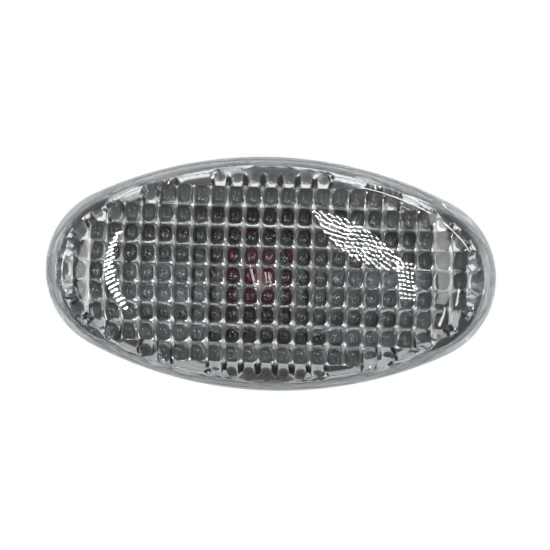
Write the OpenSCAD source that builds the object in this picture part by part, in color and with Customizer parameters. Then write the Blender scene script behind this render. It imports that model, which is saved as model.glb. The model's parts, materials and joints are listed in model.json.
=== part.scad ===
// Oval side repeater lamp: a clear dome lens with moulded pillow optics,
// a metallised reflector and a coated capless bulb, in a snap-in housing.
// Every module draws the lamp lying on its back: x along its length, y up the
// car body and z forward, out of the panel. upright() then turns it to face -Y.

/* [Outline] */
// Length of the lamp
lamp_len = 104; // [98:1:110]
// Height of the lamp
lamp_wid = 54; // [51:0.5:57]
// Radius of the rounded ends, seen from the front
end_r = 19.4; // [17:0.2:21]

/* [Lens] */
// Rise of the dome above its skirt
dome_rise = 10.4; // [9:0.2:12]
// Wall of the dome
lens_wall = 2.2; // [1.8:0.1:2.6]
// Ledge between the edge of the skirt and the foot of the dome
dome_ledge = 0.8; // [0.4:0.1:1.2]
// Height of the straight skirt under the dome
skirt_h = 2.6; // [2:0.1:4]
// Wall of the skirt
skirt_wall = 3.2; // [3:0.1:4]
// Setback of the tongue that plugs into the housing
tongue_set = 1.6; // [1.5:0.1:1.8]
// Width of the tongue
tongue_w = 1.2; // [0.8:0.1:1.3]
// Height of the tongue
tongue_h = 1.2; // [0.8:0.1:1.4]

/* [Housing] */
// Thickness of the flange that carries the lens
flange_t = 2.4; // [2.2:0.1:3]
// Setback of the flange from the edge of the lens
flange_set = 0.4; // [0.2:0.1:0.6]
// Setback of the body that drops into the panel
body_set = 9.4; // [8.5:0.1:11]
// Depth of the body behind the panel
body_depth = 14; // [13.5:0.5:18]
// Wall of the body
body_wall = 2; // [1.6:0.1:2.4]
// Length of the barrel for the bulb holder
barrel_len = 7; // [6:0.5:9]
// Wall of the barrel
barrel_wall = 2.6; // [2.4:0.1:3.2]
// Stiffening ribs round the barrel
rib_count = 6; // [4:2:8]
// Thickness of a rib
rib_t = 1.4; // [1:0.1:2]
// Reach of a rib past the barrel
rib_reach = 4.5; // [3:0.5:6]
// Thickness of the sheet that the lamp clips into
panel_t = 1; // [0.7:0.1:1.5]
// Reach of the hook past the body
hook_reach = 3.6; // [2.5:0.1:4.5]
// Width of the hook
hook_w = 14; // [10:1:18]
// Thickness of the hook
hook_t = 2.4; // [1.6:0.1:3]

/* [Gasket] */
// Thickness of the gasket on the panel
gasket_t = 2; // [1.6:0.1:3]
// Setback of the gasket from the edge of the lens
gasket_set = 0.2; // [0:0.1:0.6]
// Clearance between the gasket and the body
gasket_gap = 0.2; // [0.1:0.05:0.5]
// Width of the sealing land round the edge of the gasket
land_w = 2.4; // [1.6:0.1:2.8]
// Depth of the relief between the sealing land and the body
relief_d = 0.5; // [0.3:0.1:0.8]

/* [Lens bond] */
// Thickness of the adhesive round the tongue
bond_t = 0.25; // [0.15:0.05:0.35]

/* [Reflector] */
// Wall of the reflector
reflector_wall = 1.1; // [0.8:0.1:1.5]
// Gap between the reflector's rim and the skirt of the lens
reflector_gap = 0.3; // [0.2:0.1:1]
// Depth of the reflector's bowl
bowl_depth = 12; // [9:0.5:12.5]
// Clearance between the bowl and the body
bowl_gap = 0.6; // [0.4:0.1:1.5]
// Radius of the hole for the bulb
bulb_hole_r = 6.6; // [6:0.1:7.5]

/* [Bulb] */
// Diameter of the bulb
bulb_d = 10; // [9.6:0.1:10.4]
// How far the tip of the bulb stands in front of the panel
bulb_tip = 5; // [3:0.5:6]
// Length of the bulb from its tip to the end of its base
bulb_len = 26; // [25:0.5:27]
// Wall of the glass
glass_t = 0.6; // [0.5:0.05:0.9]
// Width of the pinched base
base_w = 9.4; // [8.8:0.1:9.8]
// Thickness of the pinched base
base_t = 2.2; // [1.8:0.1:2.6]
// Length of the pinched base
base_len = 8; // [7:0.5:9]
// Diameter of a lead wire
lead_d = 0.5; // [0.4:0.05:0.7]
// Distance between the lead wires
lead_gap = 5.6; // [5.2:0.1:6]
// Reach of the folded ends of the leads up the base
lead_fold = 5; // [3:0.5:6]
// How far the filament stands behind the tip of the bulb
filament_drop = 7; // [6:0.5:9]
// Diameter of the filament coil
filament_d = 0.7; // [0.6:0.05:1]
// How far the filament arches above the ends of its leads
filament_arch = 1.1; // [0.6:0.1:1.6]

/* [Bulb holder] */
// Radius of the spigot that enters the barrel
spigot_r = 8; // [7.6:0.1:8.4]
// Clearance between the spigot and the barrel
spigot_gap = 0.25; // [0.15:0.05:0.4]
// Reach of the bayonet lugs past the spigot
lug_reach = 1.6; // [1.2:0.1:1.8]
// Thickness of the bayonet lugs
lug_t = 1.8; // [1.4:0.1:2]
// Angle that one bayonet lug spans
lug_span = 32; // [24:1:40]
// Bayonet lugs round the spigot
lug_count = 3; // [2:1:3]
// Clearance round the lugs and behind them
lug_gap = 0.2; // [0.1:0.05:0.4]
// Thickness of the holder's flange
holder_flange_t = 2; // [1.6:0.1:2.6]
// Reach of the holder's flange past the barrel
holder_lip = 0.8; // [0.4:0.1:1.5]
// Clearance between the bulb's base and the holder
base_gap = 0.2; // [0.1:0.05:0.4]
// Width of the connector socket
socket_w = 12; // [11:0.1:13]
// Height of the connector socket
socket_h = 6.4; // [6:0.1:7]
// Depth of the connector socket
socket_depth = 11; // [11:0.5:13]
// Wall of the connector socket
socket_wall = 1.5; // [1.2:0.1:2]
// Floor between the holder's flange and the socket
socket_floor = 1.6; // [1.2:0.1:2.4]
// Reach of the finger grips past the socket
grip_reach = 2.6; // [2:0.1:3]
// Thickness of the finger grips
grip_t = 2.4; // [2:0.1:3]

/* [Contacts] */
// Width of a contact
contact_w = 2.8; // [2.2:0.1:3]
// Thickness of the contact strip
contact_t = 0.6; // [0.5:0.05:0.8]
// Reach of the spring arms up the base of the bulb
arm_len = 7; // [5:0.5:8]
// Length of the tab in the connector socket
tab_len = 6.5; // [5.5:0.5:6.5]

/* [Holder seal] */
// Thickness of the ring between the holder and the barrel
seal_t = 1.4; // [1:0.1:2]
// Clearance between the ring and the spigot
seal_gap = 0.1; // [0.05:0.05:0.3]

/* [Retaining spring] */
// Width of the spring leaf
spring_w = 9; // [7:0.5:12]
// Thickness of the spring leaf
spring_t = 0.6; // [0.4:0.05:0.8]
// Reach of the spring's shoulder past the body
spring_reach = 3.4; // [2.5:0.1:4.2]
// Length of the spring's foot behind the body
spring_foot = 8; // [7:0.5:10]
// Radius of the stake that holds the foot
stake_r = 1.2; // [1:0.1:1.5]

/* [Hidden] */

// Four-arc oval: two end arcs about (+-end_x, 0), two side arcs about (0, +-side_y)
half_len = lamp_len / 2;
half_wid = lamp_wid / 2;
end_x = half_len - end_r;
side_r = (end_x*end_x + half_wid*half_wid - end_r*end_r) / (2*(half_wid - end_r));
side_y = side_r - half_wid;
end_span = atan2(side_y, end_x);
beyond = 1.3 * side_r / (side_r - end_r);

// Levels in front of the panel, which lies at z = 0
flange_z = gasket_t + flange_t;
dome_z = flange_z + skirt_h;
in_len = half_len - skirt_wall - 0.2;
in_wid = half_wid - skirt_wall - 0.2;
in_rise = dome_rise - lens_wall;

// Levels behind the panel
floor_z = body_wall - body_depth;
barrel_z = -body_depth - barrel_len;
barrel_in_r = spigot_r + spigot_gap;
barrel_r = barrel_in_r + barrel_wall;
holder_z = barrel_z - seal_t;
socket_z = holder_z - holder_flange_t - socket_floor;
mouth_z = socket_z - socket_depth;
spigot_z = floor_z + lug_gap + lug_t;

// The bulb, from its tip back
bulb_r = bulb_d / 2;
base_z = bulb_tip - bulb_len;
crown_z = bulb_tip - bulb_r;
shoulder_z = base_z + base_len + 0.88*bulb_r;
filament_z = bulb_tip - filament_drop;
slot_z = base_z - lead_d - contact_t;

fine = 96;
cut = 0.1;

module upright() rotate([90, 0, 0]) children();

// The oval, drawn in from the edge of the lens by inset
module oval(inset) {
    for (side = [-1, 1])
        translate([side*end_x, 0]) circle(r = end_r - inset, $fn = fine);
    for (side = [0, 1]) mirror([0, side]) intersection() {
        translate([0, -side_y]) circle(r = side_r - inset, $fn = 4*fine);
        polygon([
            [-end_x, 0], [end_x, 0],
            [end_x*beyond, side_y*(beyond - 1)], [-end_x*beyond, side_y*(beyond - 1)]
        ]);
    }
}

module oval_plate(inset, low, high)
    translate([0, 0, low]) linear_extrude(high - low) oval(inset);

module oval_ring(outer, inner, low, high)
    translate([0, 0, low]) linear_extrude(high - low) difference() {
        oval(outer);
        oval(inner);
    }

// Carries a section round the oval; its x is the distance in from the edge
module oval_sweep() {
    for (side = [0, 1]) mirror([side, 0]) translate([end_x, 0])
        rotate_extrude(angle = 2*end_span, start = -end_span, $fn = fine)
            translate([end_r, 0]) mirror([1, 0]) children();
    for (side = [0, 1]) mirror([0, side]) translate([0, -side_y])
        rotate_extrude(angle = 180 - 2*end_span, start = end_span, $fn = 4*fine)
            translate([side_r, 0]) mirror([1, 0]) children();
}

module block(size_x, size_y, low, high)
    translate([-size_x/2, -size_y/2, low]) cube([size_x, size_y, high - low]);

module rod(radius, low, high)
    translate([0, 0, low]) cylinder(r = radius, h = high - low, $fn = fine);

module tube(outer, inner, low, high) difference() {
    rod(outer, low, high);
    rod(inner, low - cut, high + cut);
}

// Half of an ellipsoid, standing on z = 0
module half_dome(len, wid, rise) intersection() {
    scale([len, wid, rise]) sphere(r = 1, $fn = fine);
    block(3*len, 3*wid, 0, 2*rise);
}

module lens() color([0.85, 0.88, 0.9, 0.35]) upright() difference() {
    union() {
        translate([0, 0, dome_z])
            half_dome(half_len - dome_ledge, half_wid - dome_ledge, dome_rise);
        oval_plate(0, flange_z, dome_z);
        oval_ring(tongue_set, tongue_set + tongue_w, flange_z - tongue_h, flange_z);
    }
    oval_plate(skirt_wall, flange_z - cut, dome_z);
    translate([0, 0, dome_z]) half_dome(in_len, in_wid, in_rise);
}

module lens_bond() color([0.8, 0.82, 0.83]) upright() difference() {
    oval_ring(tongue_set - bond_t, tongue_set + tongue_w + bond_t,
        flange_z - tongue_h - bond_t, flange_z);
    oval_ring(tongue_set, tongue_set + tongue_w, flange_z - tongue_h, flange_z + cut);
}

// The bowl drops through the opening of the flange into the body
module reflector() {
    bowl_set = body_set + body_wall + bowl_gap;
    bowl_len = half_len - bowl_set;
    bowl_wid = half_wid - bowl_set;
    color("silver") upright() difference() {
        union() {
            oval_plate(skirt_wall + reflector_gap, flange_z, flange_z + reflector_wall);
            translate([0, 0, flange_z]) mirror([0, 0, 1])
                half_dome(bowl_len, bowl_wid, bowl_depth + reflector_wall);
        }
        translate([0, 0, flange_z + reflector_wall]) mirror([0, 0, 1])
            half_dome(bowl_len - reflector_wall, bowl_wid - reflector_wall,
                bowl_depth + reflector_wall);
        rod(bulb_hole_r, floor_z, flange_z);
    }
}

// Hook that slips under the edge of the panel at the left-hand end
module hook() {
    top = -panel_t;
    root = body_set + body_wall/2;
    nose = body_set - hook_reach;
    bevel = hook_t / 2;
    translate([-half_len, hook_w/2, 0]) rotate([90, 0, 0]) linear_extrude(hook_w)
        polygon([
            [root, top], [nose + bevel, top], [nose, top - bevel], [nose, top - hook_t],
            [body_set, top - hook_t - hook_reach], [root, top - hook_t - hook_reach]
        ]);
}

// Gusset between the barrel and the back of the body
module rib() translate([0, rib_t/2, 0]) rotate([90, 0, 0]) linear_extrude(rib_t)
    polygon([
        [barrel_r - barrel_wall/2, -body_depth + cut],
        [barrel_r + rib_reach, -body_depth + cut],
        [barrel_r + rib_reach, -body_depth - rib_t],
        [barrel_r, barrel_z + rib_t],
        [barrel_r - barrel_wall/2, barrel_z + rib_t]
    ]);

// Sector of a ring, centred on the x axis
module sector(inner, outer, span, low, high)
    rotate_extrude(angle = span, start = -span/2, $fn = fine)
        translate([inner, low]) square([outer - inner, high - low]);

spring_hole_x = half_len - body_set - spring_foot/2;

module housing() color([0.86, 0.87, 0.88]) upright() difference() {
    union() {
        oval_plate(flange_set, gasket_t, flange_z);
        oval_plate(body_set, -body_depth, gasket_t);
        rod(barrel_r, barrel_z, -body_depth + cut);
        for (turn = [0 : 360/rib_count : 359]) rotate(turn + 180/rib_count) rib();
        hook();
        translate([spring_hole_x, 0, 0]) {
            rod(stake_r, -body_depth - spring_t - cut, -body_depth + cut);
            rod(1.7*stake_r, -body_depth - spring_t - stake_r, -body_depth - spring_t);
        }
    }
    oval_plate(body_set + body_wall, floor_z, flange_z + cut);
    oval_ring(tongue_set - bond_t, tongue_set + tongue_w + bond_t,
        flange_z - tongue_h - bond_t, flange_z + cut);
    rod(barrel_in_r, barrel_z - cut, floor_z + cut);
    for (turn = [0 : 360/lug_count : 359]) rotate(turn)
        sector(spigot_r/2, spigot_r + lug_reach + lug_gap, lug_span + 4, barrel_z - cut,
            floor_z + cut);
}

module gasket() color([0.12, 0.12, 0.13]) upright() {
    bead_r = gasket_t / 2;
    difference() {
        oval_plate(gasket_set + bead_r, 0, gasket_t);
        oval_plate(gasket_set + bead_r + land_w, -cut, relief_d);
        oval_plate(body_set - gasket_gap, -cut, gasket_t + cut);
    }
    oval_sweep() intersection() {
        translate([gasket_set + bead_r, bead_r]) circle(r = bead_r, $fn = 48);
        translate([gasket_set, 0]) square([bead_r, gasket_t]);
    }
}

// Straight run of the leaf in side view, with round ends
module leaf(from, to) {
    run = to - from;
    translate(from) rotate(atan2(run.y, run.x))
        translate([0, -spring_t/2]) square([norm(run), spring_t]);
    for (end = [from, to]) translate(end) circle(r = spring_t/2, $fn = 48);
}

module retaining_spring() {
    wall_x = half_len - body_set;
    foot_z = -body_depth - spring_t/2;
    clear_x = wall_x + spring_t/2 + 0.2;
    bend = [clear_x, foot_z];
    shoulder = [wall_x + spring_reach - spring_t/2, -panel_t - 0.25*body_depth];
    tip = [clear_x + 0.3*spring_reach, -panel_t - spring_t/2];
    color("lightsteelblue") upright() difference() {
        translate([0, spring_w/2, 0]) rotate([90, 0, 0]) linear_extrude(spring_w) {
            leaf([wall_x - spring_foot, foot_z], bend);
            leaf(bend, shoulder);
            leaf(shoulder, tip);
        }
        translate([spring_hole_x, 0, 0])
            rod(stake_r, -body_depth - spring_t - cut, -body_depth + cut);
    }
}

module bulb_shape(skin) {
    radius = bulb_r - skin;
    translate([0, 0, crown_z]) sphere(r = radius, $fn = fine);
    translate([0, 0, shoulder_z]) sphere(r = radius, $fn = fine);
    rod(radius, shoulder_z, crown_z);
}

module bulb_glass() color([0.45, 0.1, 0.08, 0.7]) upright() difference() {
    union() {
        bulb_shape(0);
        block(base_w, base_t, base_z, shoulder_z - 0.6*bulb_r);
    }
    bulb_shape(glass_t);
    for (side = [-1, 1]) translate([side*lead_gap/2, 0, 0])
        rod(lead_d/2, base_z - cut, shoulder_z);
}

// A wire that leaves the filament, passes through the base and folds up its side
module bulb_lead(side) color("gray") upright() translate([side*lead_gap/2, 0, 0]) {
    fold_y = side * (base_t + lead_d) / 2;
    turn_z = base_z - lead_d/2;
    rod(lead_d/2, turn_z, filament_z);
    translate([0, 0, turn_z]) sphere(r = lead_d/2, $fn = 48);
    translate([0, 0, turn_z]) rotate([-side*90, 0, 0]) rod(lead_d/2, 0, abs(fold_y));
    translate([0, fold_y, turn_z]) sphere(r = lead_d/2, $fn = 48);
    translate([0, fold_y, 0]) rod(lead_d/2, turn_z, turn_z + lead_fold);
}

// Arched coil between the tips of the two leads
module filament() {
    half = lead_gap/2 + lead_d/2;
    arch_r = (half*half + filament_arch*filament_arch) / (2*filament_arch);
    lean = asin(half / arch_r);
    color("dimgray") upright()
        translate([0, 0, filament_z + filament_d/2 + filament_arch - arch_r])
            rotate([90, 0, 0])
                rotate_extrude(angle = 2*lean, start = 90 - lean, $fn = 4*fine)
                    translate([arch_r, 0]) circle(r = filament_d/2, $fn = 24);
}

module bulb_holder() color([0.16, 0.16, 0.17]) upright() {
    slot_w = base_w + 2*base_gap;
    slot_t = base_t + 2*(lead_d + contact_t);
    difference() {
        union() {
            rod(spigot_r, holder_z, spigot_z);
            for (turn = [0 : 360/lug_count : 359]) rotate(turn + 180/lug_count)
                sector(0.9*spigot_r, spigot_r + lug_reach, lug_span, spigot_z - lug_t, spigot_z);
            rod(barrel_r + holder_lip, holder_z - holder_flange_t, holder_z);
            block(socket_w + 2*socket_wall, socket_h + 2*socket_wall, mouth_z, holder_z - cut);
            block(socket_w + 2*socket_wall + 2*grip_reach, grip_t,
                mouth_z + socket_depth/3, holder_z - cut);
        }
        block(slot_w, slot_t, slot_z, spigot_z + cut);
        rod(bulb_r + base_gap, shoulder_z - bulb_r - base_gap, spigot_z + cut);
        block(socket_w, socket_h, mouth_z - cut, socket_z);
        for (side = [-1, 1]) translate([side*lead_gap/2, 0, 0])
            block(contact_w, contact_t, socket_z - cut, slot_z + cut);
    }
}

module holder_seal() color([0.2, 0.2, 0.2]) upright()
    tube(barrel_r, spigot_r + seal_gap, holder_z, barrel_z);

// Stamped strip: a fork that grips the base of the bulb, and a tab behind
module contact(side) color("goldenrod") upright() translate([side*lead_gap/2, 0, 0]) {
    fork_t = base_t + 2*(lead_d + contact_t);
    difference() {
        block(contact_w, fork_t, slot_z, slot_z + arm_len);
        block(contact_w + cut, fork_t - 2*contact_t, slot_z + contact_t, slot_z + arm_len + cut);
    }
    block(contact_w, contact_t, socket_z - tab_len, slot_z);
}

module bulb_lead_left() bulb_lead(-1);
module bulb_lead_right() bulb_lead(1);
module contact_left() contact(-1);
module contact_right() contact(1);

lens();
lens_bond();
reflector();
housing();
gasket();
retaining_spring();
bulb_glass();
bulb_lead_left();
bulb_lead_right();
filament();
bulb_holder();
holder_seal();
contact_left();
contact_right();
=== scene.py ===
import json
import math

import bpy
from mathutils import Matrix, Vector, geometry


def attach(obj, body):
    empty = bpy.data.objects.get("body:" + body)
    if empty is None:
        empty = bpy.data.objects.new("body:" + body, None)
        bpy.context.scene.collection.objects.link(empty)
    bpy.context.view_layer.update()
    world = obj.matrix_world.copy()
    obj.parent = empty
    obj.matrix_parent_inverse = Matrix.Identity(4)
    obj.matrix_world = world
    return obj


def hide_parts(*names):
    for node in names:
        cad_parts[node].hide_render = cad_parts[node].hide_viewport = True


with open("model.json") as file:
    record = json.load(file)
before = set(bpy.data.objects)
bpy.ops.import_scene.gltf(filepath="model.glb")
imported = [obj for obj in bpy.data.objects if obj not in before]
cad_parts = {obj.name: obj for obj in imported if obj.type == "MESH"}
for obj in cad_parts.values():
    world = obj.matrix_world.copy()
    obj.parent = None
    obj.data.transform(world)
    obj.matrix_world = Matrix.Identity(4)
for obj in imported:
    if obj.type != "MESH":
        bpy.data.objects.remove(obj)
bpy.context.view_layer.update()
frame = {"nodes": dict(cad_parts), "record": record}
scene = bpy.context.scene

# Sizes of the lens in millimetres, as in the CAD source
MM = 0.001
END_R, END_X = 19.4, 32.6
SIDE_R, SIDE_Y = 93.118, 66.118
END_SPAN = math.atan2(SIDE_Y, END_X)
FLANGE_H, DOME_H = 4.4, 7.0
OUT_LEN, OUT_WID, OUT_RISE = 51.2, 26.2, 10.4
IN_LEN, IN_WID, IN_RISE = 48.6, 23.6, 8.2
SKIRT = 3.2
FOOT_H = FLANGE_H + 0.03
SHOULDER_H, SHOULDER_R = 6.3, 0.5
TONGUE_OUT, TONGUE_IN, TONGUE_H = 1.62, 2.78, 3.23
PILLOW_X, PILLOW_Y = 3.9, 4.35
PILLOW_RX, PILLOW_RY, PILLOW_BORDER = 2.45, 2.9, 0.8
SAG_X = PILLOW_RX - math.sqrt(PILLOW_RX ** 2 - PILLOW_X ** 2 / 4)
SAG_Y = PILLOW_RY - math.sqrt(PILLOW_RY ** 2 - PILLOW_Y ** 2 / 4)

# How finely the lens is divided: half a pillow, a ring, the dome's climb and the shoulder
HALF_STEPS = 8
LENS_AROUND, DOME_RINGS, SHOULDER_RINGS = 288, 56, 4

# Rings between the edge of the inner face and its grid, as shares of a quarter turn
MARGIN_TURNS = (0.06, 0.13, 0.21)


def at(x, y, h):
    """The place of a point that lies x along the lamp, y up it and h out of the panel."""
    return Vector((x, -h, y)) * MM


def oval_at(angle, inset):
    """Point of the four-arc oval whose outward normal has this angle."""
    c, s = math.cos(angle), math.sin(angle)
    if abs(s) < math.sin(END_SPAN):
        side = 1 if c > 0 else -1
        return side * END_X + (END_R - inset) * c, (END_R - inset) * s
    side = 1 if s > 0 else -1
    return (SIDE_R - inset) * c, (SIDE_R - inset) * s - side * SIDE_Y


def ellipse_at(angle, a, b):
    """Point of an ellipse whose outward normal has this angle."""
    c, s = math.cos(angle), math.sin(angle)
    n = math.hypot(a * c, b * s)
    return a * a * c / n, b * b * s / n


def add_band(faces, low, high, around):
    """Quads between two rings of points, each given by the number of its first point."""
    for k in range(around):
        n = (k + 1) % around
        faces.append((low + k, low + n, high + n, high + k))


def add_cap(faces, ring, tip, around, flip=False):
    """Triangles from a ring of points to a single one."""
    for k in range(around):
        n = (k + 1) % around
        faces.append((ring + n, ring + k, tip) if flip else (ring + k, ring + n, tip))


# Camera, at the photograph's angle, rolled as the lamp lies in it
PIXELS = 550
PX_PER_MM = 4.327
DISTANCE = 400.0
ELEVATION, AZIMUTH, ROLL = 3.0, 2.0, 1.7
LAMP_PX = (270.0, 274.0)
AIM_H = 5.7
SENSOR = 36.0


def make_camera():
    a, e = math.radians(AZIMUTH), math.radians(ELEVATION)
    back = Vector((math.sin(a) * math.cos(e), -math.cos(a) * math.cos(e), math.sin(e)))
    look = (-back).to_track_quat("-Z", "Y").to_matrix()
    look = look @ Matrix.Rotation(math.radians(ROLL), 3, "Z")
    right, up = look.col[0], look.col[1]
    half = PIXELS / 2
    shift_x, shift_y = [(half - px) / PX_PER_MM * MM for px in LAMP_PX]
    aim = at(0, 0, AIM_H) + right * shift_x - up * shift_y
    data = bpy.data.cameras.new("camera")
    data.sensor_width = SENSOR
    data.lens = SENSOR / 2 / (half / PX_PER_MM / DISTANCE)
    camera = bpy.data.objects.new("camera", data)
    camera.matrix_world = Matrix.Translation(aim + back * (DISTANCE * MM)) @ look.to_4x4()
    scene.collection.objects.link(camera)
    scene.camera = camera
    return camera


def ray_of(camera, px, py):
    """Where the camera's ray through a pixel of the photograph starts, and its direction."""
    half, reach = PIXELS / 2, PX_PER_MM * DISTANCE
    m = camera.matrix_world
    v = Vector(((px - half) / reach, (half - py) / reach, -1))
    return m.translation.copy(), (m.to_3x3() @ v).normalized()


def mirror_of(camera, px, py):
    """Where the camera's ray through a pixel meets the dome, and how it is reflected there."""
    start, way = ray_of(camera, px, py)
    base = at(0, 0, DOME_H)
    size = Vector((OUT_LEN, OUT_RISE, OUT_WID)) * MM
    p = Vector([(start[k] - base[k]) / size[k] for k in range(3)])
    d = Vector([way[k] / size[k] for k in range(3)])
    a, b, c = d.dot(d), p.dot(d), p.dot(p) - 1
    t = (-b - math.sqrt(b * b - a * c)) / a
    q = p + d * t
    normal = Vector([q[k] / size[k] for k in range(3)]).normalized()
    return start + way * t, way - 2 * way.dot(normal) * normal


camera = make_camera()


# Shaders
class Shader:
    """A material built of nodes, with a Principled shader at its end."""

    def __init__(self, name, **values):
        self.material = bpy.data.materials.new(name)
        self.material.use_nodes = True
        self.tree = self.material.node_tree
        self.shader = self.tree.nodes["Principled BSDF"]
        self.place = self.add("ShaderNodeTexCoord").outputs["Object"]
        for key, value in values.items():
            self.shader.inputs[key.replace("_", " ")].default_value = value

    def add(self, kind, **values):
        node = self.tree.nodes.new(kind)
        for key, value in values.items():
            setattr(node, key, value)
        return node

    def link(self, output, target):
        self.tree.links.new(output, target)

    def noise(self, scale, detail=2.0, rough=0.5, stretch=None):
        node = self.add("ShaderNodeTexNoise")
        node.inputs["Scale"].default_value = scale
        node.inputs["Detail"].default_value = detail
        node.inputs["Roughness"].default_value = rough
        place = self.place
        if stretch:
            mapping = self.add("ShaderNodeMapping")
            mapping.inputs["Scale"].default_value = stretch
            self.link(place, mapping.inputs["Vector"])
            place = mapping.outputs["Vector"]
        self.link(place, node.inputs["Vector"])
        return node.outputs["Fac"]

    def ramp(self, value, *stops):
        """Colour or grey by a value; each stop is (position, colour)."""
        node = self.add("ShaderNodeValToRGB")
        marks = node.color_ramp.elements
        while len(marks) < len(stops):
            marks.new(0.5)
        for mark, (position, colour) in zip(marks, stops):
            mark.position = position
            rgb = colour if isinstance(colour, tuple) else (colour,) * 3
            mark.color = (*rgb, 1)
        self.link(value, node.inputs["Fac"])
        return node.outputs["Color"]

    def bump(self, height, strength, distance):
        node = self.add("ShaderNodeBump")
        node.inputs["Strength"].default_value = strength
        node.inputs["Distance"].default_value = distance
        self.link(height, node.inputs["Height"])
        self.link(node.outputs["Normal"], self.shader.inputs["Normal"])

    def colour(self, value):
        self.link(value, self.shader.inputs["Base Color"])

    def rough(self, value):
        self.link(value, self.shader.inputs["Roughness"])


def clear_lens():
    s = Shader("lens_clear", Transmission_Weight=1.0, IOR=1.5, Roughness=0.03,
               Specular_IOR_Level=0.6)
    s.colour(s.ramp(s.noise(60), (0.3, (0.93, 0.955, 0.965)), (0.7, (0.95, 0.97, 0.975))))
    return s.material


def frosted_bond():
    s = Shader("bond", Transmission_Weight=0.25, IOR=1.45)
    s.colour(s.ramp(s.noise(400, 4), (0.35, (0.62, 0.65, 0.67)), (0.65, (0.85, 0.87, 0.88))))
    s.rough(s.ramp(s.noise(900, 3), (0.3, 0.25), (0.7, 0.6)))
    s.bump(s.noise(1400, 4), 0.4, 0.0003)
    return s.material


def bright_reflector():
    s = Shader("reflector_bright", Metallic=1.0)
    # Painted shade: the plating's colour is set far darker than bright metal, standing in for the
    # dim surroundings it mirrors; the noise only mottles this painted shade at random
    painted_shade_mottle = s.noise(45, 3)
    s.colour(s.ramp(painted_shade_mottle, (0.3, (0.075, 0.08, 0.085)), (0.7, (0.105, 0.112, 0.117))))
    s.rough(s.ramp(s.noise(300, 3), (0.3, 0.25), (0.7, 0.31)))
    s.bump(s.noise(160, 3), 0.05, 0.0005)
    return s.material


def grey_plastic():
    s = Shader("housing_plastic")
    cloud = s.noise(120, 4)
    s.colour(s.ramp(cloud, (0.3, (0.7, 0.715, 0.725)), (0.7, (0.78, 0.795, 0.805))))
    s.rough(s.ramp(s.noise(900, 2), (0.3, 0.38), (0.7, 0.5)))
    s.bump(s.noise(5200, 2), 0.12, 0.0002)
    return s.material


def black_rubber():
    s = Shader("rubber_black")
    s.colour(s.ramp(s.noise(500, 4), (0.3, (0.018, 0.018, 0.02)), (0.7, (0.035, 0.035, 0.038))))
    s.rough(s.ramp(s.noise(700, 3), (0.3, 0.65), (0.7, 0.85)))
    s.bump(s.noise(2600, 3), 0.25, 0.0002)
    return s.material


def rolled_steel():
    s = Shader("spring_steel", Metallic=1.0, Anisotropic=0.5)
    grain = s.noise(900, 4, 0.6, (1, 14, 14))
    s.colour(s.ramp(grain, (0.3, (0.5, 0.51, 0.53)), (0.7, (0.66, 0.67, 0.69))))
    s.rough(s.ramp(grain, (0.3, 0.22), (0.7, 0.36)))
    s.bump(grain, 0.1, 0.0001)
    return s.material


def coated_glass():
    s = Shader("bulb_coated", Roughness=0.1, Specular_IOR_Level=0.2)
    s.colour(s.ramp(s.noise(220, 3), (0.3, (0.028, 0.0, 0.003)), (0.7, (0.056, 0.0, 0.008))))
    return s.material


def drawn_wire(name, low, high):
    s = Shader(name, Metallic=1.0)
    grain = s.noise(2500, 3, 0.5, (1, 0.1, 1))
    s.colour(s.ramp(grain, (0.3, low), (0.7, high)))
    s.rough(s.ramp(grain, (0.3, 0.25), (0.7, 0.4)))
    return s.material


def black_plastic():
    s = Shader("holder_plastic")
    s.colour(s.ramp(s.noise(300, 4), (0.3, (0.02, 0.02, 0.022)), (0.7, (0.036, 0.036, 0.04))))
    s.rough(s.ramp(s.noise(1500, 2), (0.3, 0.38), (0.7, 0.52)))
    s.bump(s.noise(6000, 2), 0.15, 0.0002)
    return s.material


def stamped_brass():
    s = Shader("contact_brass", Metallic=1.0)
    grain = s.noise(1200, 3, 0.6, (8, 1, 8))
    s.colour(s.ramp(grain, (0.3, (0.6, 0.44, 0.19)), (0.7, (0.78, 0.6, 0.29))))
    s.rough(s.ramp(grain, (0.3, 0.2), (0.7, 0.36)))
    return s.material


finishes = {
    "lens_clear": clear_lens(),
    "bond": frosted_bond(),
    "reflector_bright": bright_reflector(),
    "housing_plastic": grey_plastic(),
    "rubber_black": black_rubber(),
    "spring_steel": rolled_steel(),
    "bulb_coated": coated_glass(),
    "lead_wire": drawn_wire("lead_wire", (0.42, 0.4, 0.38), (0.6, 0.58, 0.55)),
    "filament_wire": drawn_wire("filament_wire", (0.2, 0.2, 0.21), (0.36, 0.36, 0.37)),
    "holder_plastic": black_plastic(),
    "contact_brass": stamped_brass(),
}

# CAD nodes keep their shapes and get the finish of their slot
for part in frame["record"]["subparts"]:
    mesh = frame["nodes"][part["node"]].data
    if not mesh.materials:
        mesh.materials.append(None)
    for k in range(len(mesh.materials)):
        mesh.materials[k] = finishes[part["material_slot"]]


# Lens with its pillow optics
def inner_height(x, y):
    return DOME_H + IN_RISE * math.sqrt(max(0.0, 1 - (x / IN_LEN) ** 2 - (y / IN_WID) ** 2))


def in_field(i, j):
    x, y = i * PILLOW_X, j * PILLOW_Y
    return (x / (IN_LEN - PILLOW_BORDER)) ** 2 + (y / (IN_WID - PILLOW_BORDER)) ** 2 < 1


def pillow_depth(x, y):
    """How far the pillows stand out of the dome's inner face here, towards the bulb."""
    best = 0.0
    for i in {round(x / PILLOW_X - 0.01), round(x / PILLOW_X + 0.01)}:
        for j in {round(y / PILLOW_Y - 0.01), round(y / PILLOW_Y + 0.01)}:
            if in_field(i, j):
                dx, dy = x - i * PILLOW_X, y - j * PILLOW_Y
                sag = PILLOW_RX - math.sqrt(max(0.0, PILLOW_RX ** 2 - dx * dx))
                sag += PILLOW_RY - math.sqrt(max(0.0, PILLOW_RY ** 2 - dy * dy))
                best = max(best, SAG_X + SAG_Y - sag)
    return best


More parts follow.
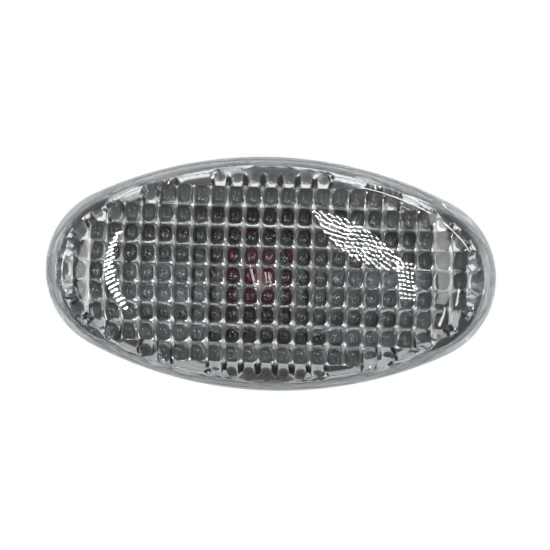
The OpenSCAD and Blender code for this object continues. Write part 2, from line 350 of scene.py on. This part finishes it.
def grid_lines(pitch, radius, reach):
    """Grid lines across the pillows, closer together where a pillow is steep."""
    lean = math.asin(pitch / 2 / radius)
    count = math.ceil(reach / pitch)
    lines = []
    for i in range(-count, count + 1):
        for k in range(-HALF_STEPS, HALF_STEPS):
            lines.append(i * pitch + radius * math.sin(lean * k / HALF_STEPS))
    return [v for v in lines if abs(v) < reach]


def lens_mesh():
    around = LENS_AROUND
    angles = [2 * math.pi * k / around for k in range(around)]
    verts, faces = [], []

    def ring(points):
        verts.extend(points)
        return len(verts) - around

    def oval_ring(inset, height):
        return ring([at(*oval_at(a, inset), height) for a in angles])

    # Outside, from the foot of the skirt over the ledge to the top of the dome
    rings = [oval_ring(inset, height) for inset, height in (
        (0.2, FOOT_H), (0.0, FOOT_H + 0.2), (0.0, 5.2), (0.0, SHOULDER_H))]
    for k in range(1, SHOULDER_RINGS + 1):
        turn = k / SHOULDER_RINGS * math.pi / 2
        inset, rise = SHOULDER_R * (1 - math.cos(turn)), SHOULDER_R * math.sin(turn)
        rings.append(oval_ring(inset, SHOULDER_H + rise))
    outer = [ellipse_at(a, OUT_LEN, OUT_WID) for a in angles]
    for k in range(2, DOME_RINGS):
        turn = k / DOME_RINGS * math.pi / 2
        s, h = math.cos(turn), DOME_H + OUT_RISE * math.sin(turn)
        rings.append(ring([at(s * x, s * y, h) for x, y in outer]))
    for low, high in zip(rings, rings[1:]):
        add_band(faces, low, high, around)
    verts.append(at(0, 0, DOME_H + OUT_RISE))
    add_cap(faces, rings[-1], len(verts) - 1, around)

    # Foot of the skirt with its tongue, then the inside of the skirt
    under = [rings[0]]
    for inset, height in (
            (TONGUE_OUT, FOOT_H), (TONGUE_OUT, TONGUE_H), (TONGUE_IN, TONGUE_H),
            (TONGUE_IN, FOOT_H), (SKIRT, FOOT_H), (SKIRT, 5.6), (SKIRT, 6.7)):
        under.append(oval_ring(inset, height))
    edge = ring([at(*ellipse_at(a, IN_LEN, IN_WID), DOME_H) for a in angles])
    under.append(edge)
    for low, high in zip(under, under[1:]):
        add_band(faces, high, low, around)

    # Inner face: a fine grid that follows the pillows, joined to the edge
    points = [Vector(ellipse_at(a, IN_LEN, IN_WID)) for a in angles]
    for turn in MARGIN_TURNS:
        s = math.cos(turn * math.pi / 2)
        points += [Vector(ellipse_at(a, IN_LEN * s, IN_WID * s)) for a in angles]
    reach = math.cos(MARGIN_TURNS[-1] * math.pi / 2) - 0.012
    for x in grid_lines(PILLOW_X, PILLOW_RX, IN_LEN):
        for y in grid_lines(PILLOW_Y, PILLOW_RY, IN_WID):
            if (x / IN_LEN) ** 2 + (y / IN_WID) ** 2 < reach ** 2:
                points.append(Vector((x, y)))
    loop = [(k, (k + 1) % around) for k in range(around)]
    flat, _, tris, origins, _, _ = geometry.delaunay_2d_cdt(points, loop, [], 1, 1e-6)
    index = []
    for p, origin in zip(flat, origins):
        if origin and origin[0] < around:
            index.append(edge + origin[0])
        else:
            index.append(len(verts))
            verts.append(at(p.x, p.y, inner_height(p.x, p.y) - pillow_depth(p.x, p.y)))
    for tri in tris:
        faces.append(tuple(index[k] for k in reversed(tri)))
    return verts, faces


def add_piece(name, verts, faces, finish, crease=30.0):
    mesh = bpy.data.meshes.new(name)
    mesh.from_pydata([tuple(v) for v in verts], [], faces)
    mesh.validate()
    mesh.shade_smooth()
    mesh.set_sharp_from_angle(angle=math.radians(crease))
    mesh.materials.append(finishes[finish])
    piece = bpy.data.objects.new(name, mesh)
    scene.collection.objects.link(piece)
    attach(piece, "root")
    return piece


lens = add_piece("lens_optics", *lens_mesh(), "lens_clear")
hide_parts("lens")


# Reflector: a bowl through the housing's opening, then a flared rim up to the lens's skirt
BOWL_LEN, BOWL_WID, BOWL_H = 39.4, 14.4, 5.1
BOWL_FLOOR = -4.6
BOWL_CAP = 0.7
MOUTH_LEN, MOUTH_WID, MOUTH_H = 46.6, 21.6, 6.9
REFLECTOR_WALL, FLARE_WALL = 1.1, 0.6
COLLAR, COLLAR_FOOT = SKIRT + 0.3, FLANGE_H + 0.05
HOLE_R, HOLE_X = 8.2, -2.2
REFLECTOR_AROUND, BOWL_RINGS, FLARE_RINGS = 240, 60, 12


def bowl_height(x, y):
    """Height of the bowl's face: a cap of an ellipsoid."""
    edge = math.sqrt(1 - BOWL_CAP ** 2)
    s = (x / BOWL_LEN) ** 2 + (y / BOWL_WID) ** 2
    share = (math.sqrt(1 - BOWL_CAP ** 2 * s) - edge) / (1 - edge)
    return BOWL_H - (BOWL_H - BOWL_FLOOR) * share


def reflector_mesh():
    around, along, flare = REFLECTOR_AROUND, BOWL_RINGS, FLARE_RINGS
    angles = [2 * math.pi * k / around for k in range(around)]
    verts, faces = [], []

    def ring(points):
        verts.extend(points)
        return len(verts) - around

    def bowl_ring(t, drop):
        """Ring at a share t of the way from the bulb's hole to the edge of the bowl."""
        points = []
        for a in angles:
            ex, ey = ellipse_at(a, BOWL_LEN, BOWL_WID)
            hx, hy = HOLE_X + HOLE_R * math.cos(a), HOLE_R * math.sin(a)
            x, y = hx + (ex - hx) * t, hy + (ey - hy) * t
            points.append(at(x, y, bowl_height(x, y) - drop))
        return ring(points)

    def flare_ring(t, drop):
        """Ring at a share t of the way from the edge of the bowl to the mouth."""
        points = []
        for a in angles:
            ix, iy = ellipse_at(a, BOWL_LEN, BOWL_WID)
            ox, oy = ellipse_at(a, MOUTH_LEN, MOUTH_WID)
            height = BOWL_H + (MOUTH_H - BOWL_H) * t * (1.4 - 0.4 * t)
            points.append(at(ix + (ox - ix) * t, iy + (oy - iy) * t, height - drop))
        return ring(points)

    rings = [bowl_ring(0.0, REFLECTOR_WALL)]
    rings += [bowl_ring(k / along, 0.0) for k in range(along + 1)]
    rings += [flare_ring(k / flare, 0.0) for k in range(1, flare + 1)]
    behind = COLLAR + REFLECTOR_WALL
    for inset, height in (
            (COLLAR + 0.2, MOUTH_H), (COLLAR, MOUTH_H - 0.2), (COLLAR, COLLAR_FOOT),
            (behind, COLLAR_FOOT), (behind, MOUTH_H - REFLECTOR_WALL)):
        rings.append(ring([at(*oval_at(a, inset), height) for a in angles]))

    # Back face, in coarser steps
    rings += [flare_ring(k / flare, FLARE_WALL) for k in range(flare, 0, -3)]
    for k in range(along, 0, -4):
        t = k / along
        rings.append(bowl_ring(t, FLARE_WALL + (REFLECTOR_WALL - FLARE_WALL) * (1 - t)))
    rings.append(rings[0])
    for low, high in zip(rings, rings[1:]):
        add_band(faces, low, high, around)
    return verts, faces


reflector = add_piece("reflector_dish", *reflector_mesh(), "reflector_bright")
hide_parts("reflector")


# Beads of adhesive squeezed out along the foot of the lens, seen as frosted patches.
# Each is its centre, its two half sizes and its turn.
BEADS = (
    (34.3, -15.1, 3.6, 0.9, 0.35), (24.0, -19.3, 4.6, 1.5, 0.2), (30.5, -17.6, 2.4, 1.0, 0.3),
    (-16.5, -21.6, 5.2, 1.1, -0.08), (-24.5, -19.9, 3.8, 1.0, -0.2), (-33.0, 16.6, 4.2, 1.0, 0.35),
    (21.0, 21.0, 3.0, 0.8, -0.15), (-9.0, 22.6, 2.6, 0.7, 0.05), (42.5, -8.6, 0.9, 2.6, -0.35),
)
BEAD_AROUND = 20
BEAD_FOOT, BEAD_TOP = -0.25, 0.52

# Share of a bead's size and height over the reflector's rim, ring by ring
BEAD_RINGS = ((1.0, BEAD_FOOT), (0.94, 0.1), (0.7, 0.38), (0.36, 0.5))


def bead_mesh():
    around, verts, faces = BEAD_AROUND, [], []
    for x, y, half_x, half_y, turn in BEADS:
        start = len(verts)
        c, s = math.cos(turn), math.sin(turn)
        for share, rise in BEAD_RINGS:
            for k in range(around):
                a = 2 * math.pi * k / around
                size = share * (1 + 0.14 * math.sin(3 * a + x) + 0.1 * math.sin(5 * a + y))
                u, v = half_x * size * math.cos(a), half_y * size * math.sin(a)
                verts.append(at(x + u * c - v * s, y + u * s + v * c, MOUTH_H + rise))
        rings = [start + m * around for m in range(len(BEAD_RINGS))]
        for low, high in zip(rings, rings[1:]):
            add_band(faces, low, high, around)
        verts.append(at(x, y, MOUTH_H + BEAD_TOP))
        add_cap(faces, rings[-1], len(verts) - 1, around)
        verts.append(at(x, y, MOUTH_H + BEAD_FOOT))
        add_cap(faces, start, len(verts) - 1, around, flip=True)
    return verts, faces


add_piece("bond_squeeze_out", *bead_mesh(), "bond")

# Bulb: a pinched base, a neck and a round envelope, sitting a little askew in its holder
BULB_R, BULB_TIP, BULB_BASE = 7.8, 10.2, -20.95
BULB_LEAN = -0.12
NECK_R, NECK_H = 5.05, -7.0
BULB_AROUND, SHOULDER_STEPS, ENVELOPE_STEPS = 72, 12, 20

# Height, half width, half thickness and squareness of the base's and the neck's rings
BASE_RINGS = (
    (BULB_BASE, 4.55, 0.95, 0.45), (BULB_BASE + 0.2, 4.7, 1.1, 0.45), (-16.0, 4.7, 1.1, 0.45),
    (-14.0, 4.7, 1.25, 0.5), (-12.6, 4.75, 2.2, 0.65), (-11.4, 4.85, 3.6, 0.85),
    (-10.4, 4.95, 4.6, 1.0), (-9.0, 5.0, 5.0, 1.0), (NECK_H, NECK_R, NECK_R, 1.0),
)


def bulb_mesh():
    around, verts, faces = BULB_AROUND, [], []

    def ring(height, half_w, half_t, square=1.0):
        lean = BULB_LEAN * (height - BULB_BASE)
        for k in range(around):
            a = 2 * math.pi * k / around
            c, s = math.cos(a), math.sin(a)
            x = math.copysign(abs(c) ** square, c) * half_w
            y = math.copysign(abs(s) ** square, s) * half_t
            verts.append(at(lean + x, y, height))

    for row in BASE_RINGS:
        ring(*row)
    middle = BULB_TIP - BULB_R
    for k in range(1, SHOULDER_STEPS + 1):
        t = k / SHOULDER_STEPS
        r = NECK_R + (BULB_R - NECK_R) * t * t * (3 - 2 * t)
        ring(NECK_H + (middle - NECK_H) * t, r, r)
    for k in range(1, ENVELOPE_STEPS):
        turn = k / ENVELOPE_STEPS * math.pi / 2
        r = BULB_R * math.cos(turn)
        ring(middle + BULB_R * math.sin(turn), r, r)
    last = len(verts) - around
    for low in range(0, last, around):
        add_band(faces, low, low + around, around)
    verts.append(at(BULB_LEAN * (BULB_TIP - BULB_BASE), 0, BULB_TIP))
    add_cap(faces, last, len(verts) - 1, around)
    verts.append(at(0, 0, BULB_BASE))
    add_cap(faces, 0, len(verts) - 1, around, flip=True)
    return verts, faces


bulb = add_piece("coated_bulb", *bulb_mesh(), "bulb_coated", 40.0)
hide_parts("bulb_glass")


# Surroundings: a soft white studio that is dim in front of the lamp and darker towards the
# floor. The camera itself sees plain white.
def make_world():
    world = bpy.data.worlds.new("studio")
    scene.world = world
    world.use_nodes = True
    tree = world.node_tree
    links = tree.links

    def span(value, start, end, low, high, kind="LINEAR"):
        """Brightness from low to high while the value goes from start to end."""
        node = tree.nodes.new("ShaderNodeMapRange")
        node.interpolation_type = kind
        for name, number in zip(("From Min", "From Max", "To Min", "To Max"),
                                (start, end, low, high)):
            node.inputs[name].default_value = number
        links.new(value, node.inputs["Value"])
        return node.outputs["Result"]

    way = tree.nodes.new("ShaderNodeTexCoord").outputs["Generated"]
    split = tree.nodes.new("ShaderNodeSeparateXYZ")
    links.new(way, split.inputs[0])
    both = tree.nodes.new("ShaderNodeMath")
    both.operation = "MULTIPLY"
    links.new(span(split.outputs["Y"], -0.95, -0.52, 0.13, 0.85, "SMOOTHSTEP"), both.inputs[0])
    links.new(span(split.outputs["Z"], -0.9, 0.4, 0.45, 1.08), both.inputs[1])
    light = tree.nodes.new("ShaderNodeLightPath")
    mix = tree.nodes.new("ShaderNodeMix")
    mix.data_type = "RGBA"
    links.new(light.outputs["Is Camera Ray"], mix.inputs["Factor"])
    links.new(both.outputs["Value"], mix.inputs["A"])
    mix.inputs["B"].default_value = (1, 1, 1, 1)
    links.new(mix.outputs["Result"], tree.nodes["Background"].inputs["Color"])


make_world()
scene.view_settings.view_transform = "Standard"


def add_stage(name, quads, **values):
    """Quads that belong to the studio and not to the lamp, with the values of their shader."""
    verts = [tuple(corner) for quad in quads for corner in quad]
    faces = [tuple(range(4 * k, 4 * k + 4)) for k in range(len(quads))]
    mesh = bpy.data.meshes.new(name)
    mesh.from_pydata(verts, [], faces)
    mesh.materials.append(Shader(name, **values).material)
    item = bpy.data.objects.new(name, mesh)
    scene.collection.objects.link(item)
    return item


def add_light_panel(name, corners, strength, colour):
    """Bright quads that light the lamp and show in its gloss, but not to the camera itself."""
    panel = add_stage(name, corners, Base_Color=(0, 0, 0, 1),
                      Emission_Color=(*colour, 1), Emission_Strength=strength)
    panel.visible_camera = False
    panel.visible_shadow = False
    return panel


def add_floor(half_size, height):
    """A plain pale floor, far enough below the lamp to stay out of the picture."""
    ring = ((-1, -1), (1, -1), (1, 1), (-1, 1))
    quad = [(x * half_size, y * half_size, height) for x, y in ring]
    floor = add_stage("floor", [quad], Base_Color=(0.7, 0.7, 0.69, 1), Roughness=0.9)
    floor.visible_glossy = False
    floor.visible_transmission = False


# How far from the dome the mirrored lights stand, in metres
LIGHT_DISTANCE = 0.5


def stroke_quads(points, widths):
    """Quads in the photograph's pixels along a bent line; each point has its own width."""
    quads = []
    for (ax, ay), (bx, by), wa, wb in zip(points, points[1:], widths, widths[1:]):
        run = math.hypot(bx - ax, by - ay)
        nx, ny = (ay - by) / run / 2, (bx - ax) / run / 2
        quads.append([(ax + nx * wa, ay + ny * wa), (bx + nx * wb, by + ny * wb),
                      (bx - nx * wb, by - ny * wb), (ax - nx * wa, ay - ny * wa)])
    return quads


def dash(x, y, reach, height, slope):
    """A short slanting dash, centred on a pixel."""
    dx, dy = reach / 2, reach / 2 * slope
    return [(x - dx, y - dy - height / 2), (x + dx, y + dy - height / 2),
            (x + dx, y + dy + height / 2), (x - dx, y - dy + height / 2)]


def mirrored_light(name, quads, strength, colour=(1, 1, 1)):
    """A light that the dome shows as these quads of the photograph."""
    corners = []
    for quad in quads:
        spots = [mirror_of(camera, *corner) for corner in quad]
        corners.append([spot + way * LIGHT_DISTANCE for spot, way in spots])
    return add_light_panel(name, corners, strength, colour)


def bow(t, start, middle, end):
    """Point of a quadratic curve through three control points."""
    a, b, c = (1 - t) ** 2, 2 * t * (1 - t), t * t
    return a * start[0] + b * middle[0] + c * end[0], a * start[1] + b * middle[1] + c * end[1]


# Left: a comb of short dashes along a bow
comb = []
COMB_TEETH = 18
for k in range(COMB_TEETH):
    t = k / (COMB_TEETH - 1)
    x, y = bow(t, (116, 233), (89, 270), (124, 308))
    reach = 4 + 4.5 * math.sin(math.pi * t) + (2 if k % 3 == 0 else 0)
    comb.append(dash(x + reach / 2, y, reach, 2.0, -0.5))
mirrored_light("lamp_left", comb, strength=70)

# Right: a wing of dashes that widens and ends in rows of dots
wing = []
WING_COLUMNS, WING_PITCH = 24, 4.4
for k in range(WING_COLUMNS):
    t = k / (WING_COLUMNS - 1)
    top = bow(t, (313, 210), (362, 214), (404, 262))
    low = bow(t, (316, 214), (332, 262), (398, 272))
    rows = max(1, round(math.dist(top, low) / WING_PITCH))
    for m in range(rows):
        u = (m + 0.3 + 0.4 * (k % 2)) / rows
        x, y = top[0] + (low[0] - top[0]) * u, top[1] + (low[1] - top[1]) * u
        wing.append(dash(x, y, 2.9, 1.5, 0.62))
for row in range(9):
    for column in range(4):
        x = 398 + WING_PITCH * column + 0.4 * row
        y = 262 + WING_PITCH * row + 0.8 * column
        wing.append(dash(x, y, 1.9, 1.7, 0.2))
mirrored_light("lamp_right", wing, strength=64)

# Soft windows at both ends, and thin glints
for k in range(4):
    w = 13 - 3 * k
    left = stroke_quads([(91, 238 + 3 * k), (84, 262), (83, 280), (90, 304 - 3 * k)],
                        [w * 0.6, w, w, w * 0.6])
    right = stroke_quads([(432, 214 + 3 * k), (441, 240), (444, 268), (441, 304 - 3 * k)],
                         [w * 0.7, w * 1.2, w * 1.2, w * 0.8])
    mirrored_light(f"window_left_{k}", left, strength=5.2)
    mirrored_light(f"window_right_{k}", right, strength=4.8)
glints = stroke_quads([(360, 187), (395, 197), (430, 213), (453, 231), (470, 252)],
                      [0.8, 1.3, 1.6, 1.3, 0.8])
glints += stroke_quads([(459, 289), (456, 306)], [2.2, 1.6])
glints += stroke_quads([(445, 307), (439, 326)], [1.6, 2.4])
glints += stroke_quads([(66, 250), (62, 270), (64, 290)], [0.8, 1.4, 0.8])
mirrored_light("glints", glints, strength=17)

# A pair of tiny dots in each cell; the grid lies askew in the picture, as the lamp does
DOTS_HALF_X, DOTS_HALF_Y = 196, 94
dots = []
for i in range(-10, 12):
    for j in range(-5, 5):
        x, y = 250 + 17.2 * i - 0.6 * j, 275.5 + 0.56 * i + 18.9 * j
        across, up = (x - LAMP_PX[0]) / DOTS_HALF_X, (y - LAMP_PX[1]) / DOTS_HALF_Y
        if across ** 2 + up ** 2 < 1:
            dots.append(dash(x - 1.7, y, 1.0, 1.9, 0))
            dots.append(dash(x + 1.9, y + 0.6, 1.1, 2.3, 0))
small_lights = [mirrored_light("dots", dots, strength=7)]

# Streaks over the bulb. These and the dots only show in the gloss and light nothing else.
streaks = stroke_quads([(250, 264), (252.5, 275), (256, 290)], [1.0, 2.0, 1.4])
streaks += stroke_quads([(265.5, 272), (266.5, 284)], [1.4, 1.2])
streaks += stroke_quads([(269.5, 272), (270.5, 287)], [1.8, 1.2])
sheen = stroke_quads([(259, 267), (260, 278), (262, 291)], [5, 10, 8])
small_lights.append(mirrored_light("streaks", streaks, strength=14, colour=(1, 0.82, 0.86)))
small_lights.append(mirrored_light("sheen", sheen, strength=1.8, colour=(1, 0.55, 0.62)))
for panel in small_lights:
    panel.visible_transmission = False
    panel.visible_diffuse = False

add_floor(half_size=0.9, height=-0.6)
